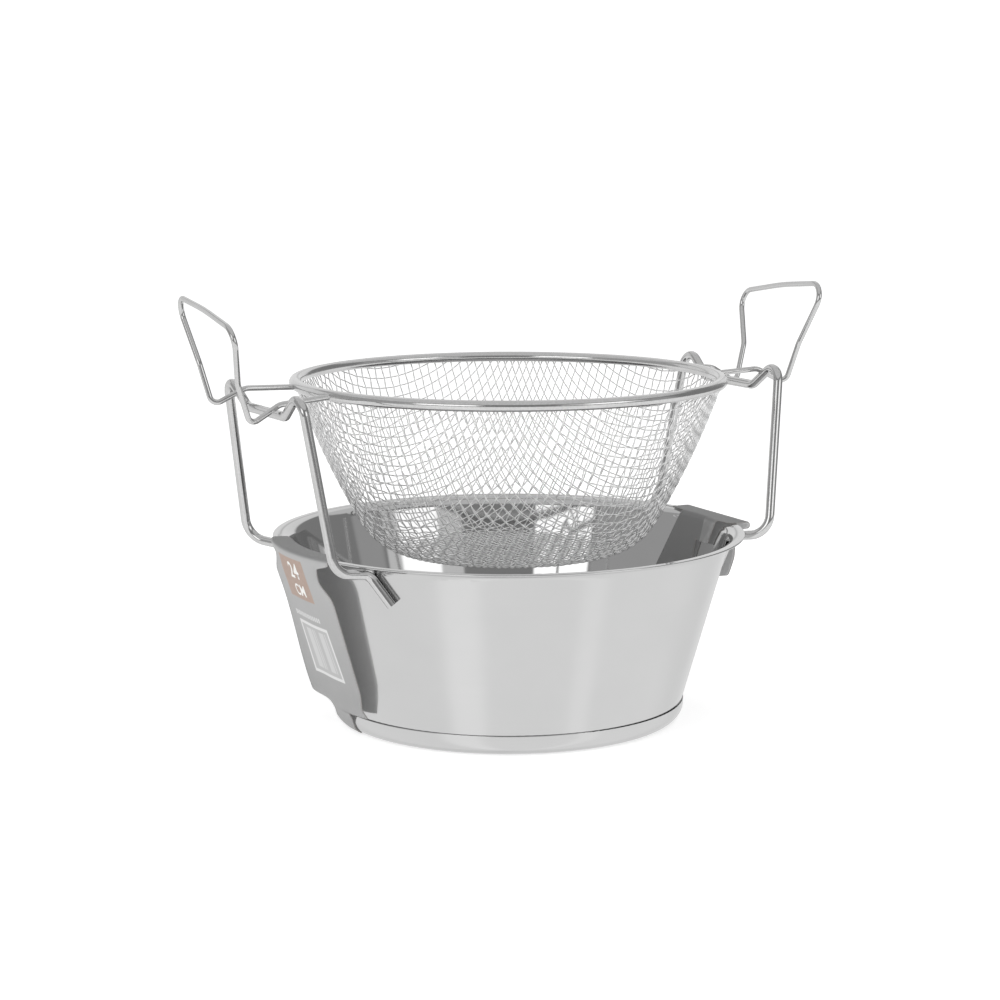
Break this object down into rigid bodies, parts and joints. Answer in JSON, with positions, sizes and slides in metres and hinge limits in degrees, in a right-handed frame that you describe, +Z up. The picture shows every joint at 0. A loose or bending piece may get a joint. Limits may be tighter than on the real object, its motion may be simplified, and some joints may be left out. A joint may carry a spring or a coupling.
{
  "type": "frying pot with draining basket",
  "caption": "Round steel pot with a flared lip, wire hangers welded to its wall, and a wire-mesh basket whose bent handles hang on them so that it drains above the pot.",
  "frame": {"origin": "centre of the pot's round base, on the plane the pot stands on", "axes": "+Z up along the pot's axis of revolution, +X towards the right-hand basket handle, +Y towards the back"},
  "size_m": [0.3464, 0.254, 0.2321],
  "materials": {
    "pot_steel": "satin outside, brighter inside",
    "base_aluminium": "plain, hidden inside the base",
    "wire_steel": "polished drawn wire",
    "rim_steel": "polished rolled strip",
    "mesh_steel": "bright woven wire",
    "grey_card": "matte uncoated card"
  },
  "bodies": {
    "pot": {"pot_body": "pot_steel", "base_core": "base_aluminium", "base_cap": "pot_steel", "left_hanger": "wire_steel", "right_hanger": "wire_steel", "left_card_sleeve": "grey_card", "right_card_sleeve": "grey_card"},
    "basket": {"basket_rim_band": "rim_steel", "basket_rim_core": "wire_steel", "basket_mesh": "mesh_steel", "left_basket_handle": "wire_steel", "right_basket_handle": "wire_steel"}
  },
  "joints": [
    {"name": "basket_lift", "type": "slide", "parent": "pot", "child": "basket", "axis": [0, 0, 1], "range_m": [0, 0.2]}
  ]
}
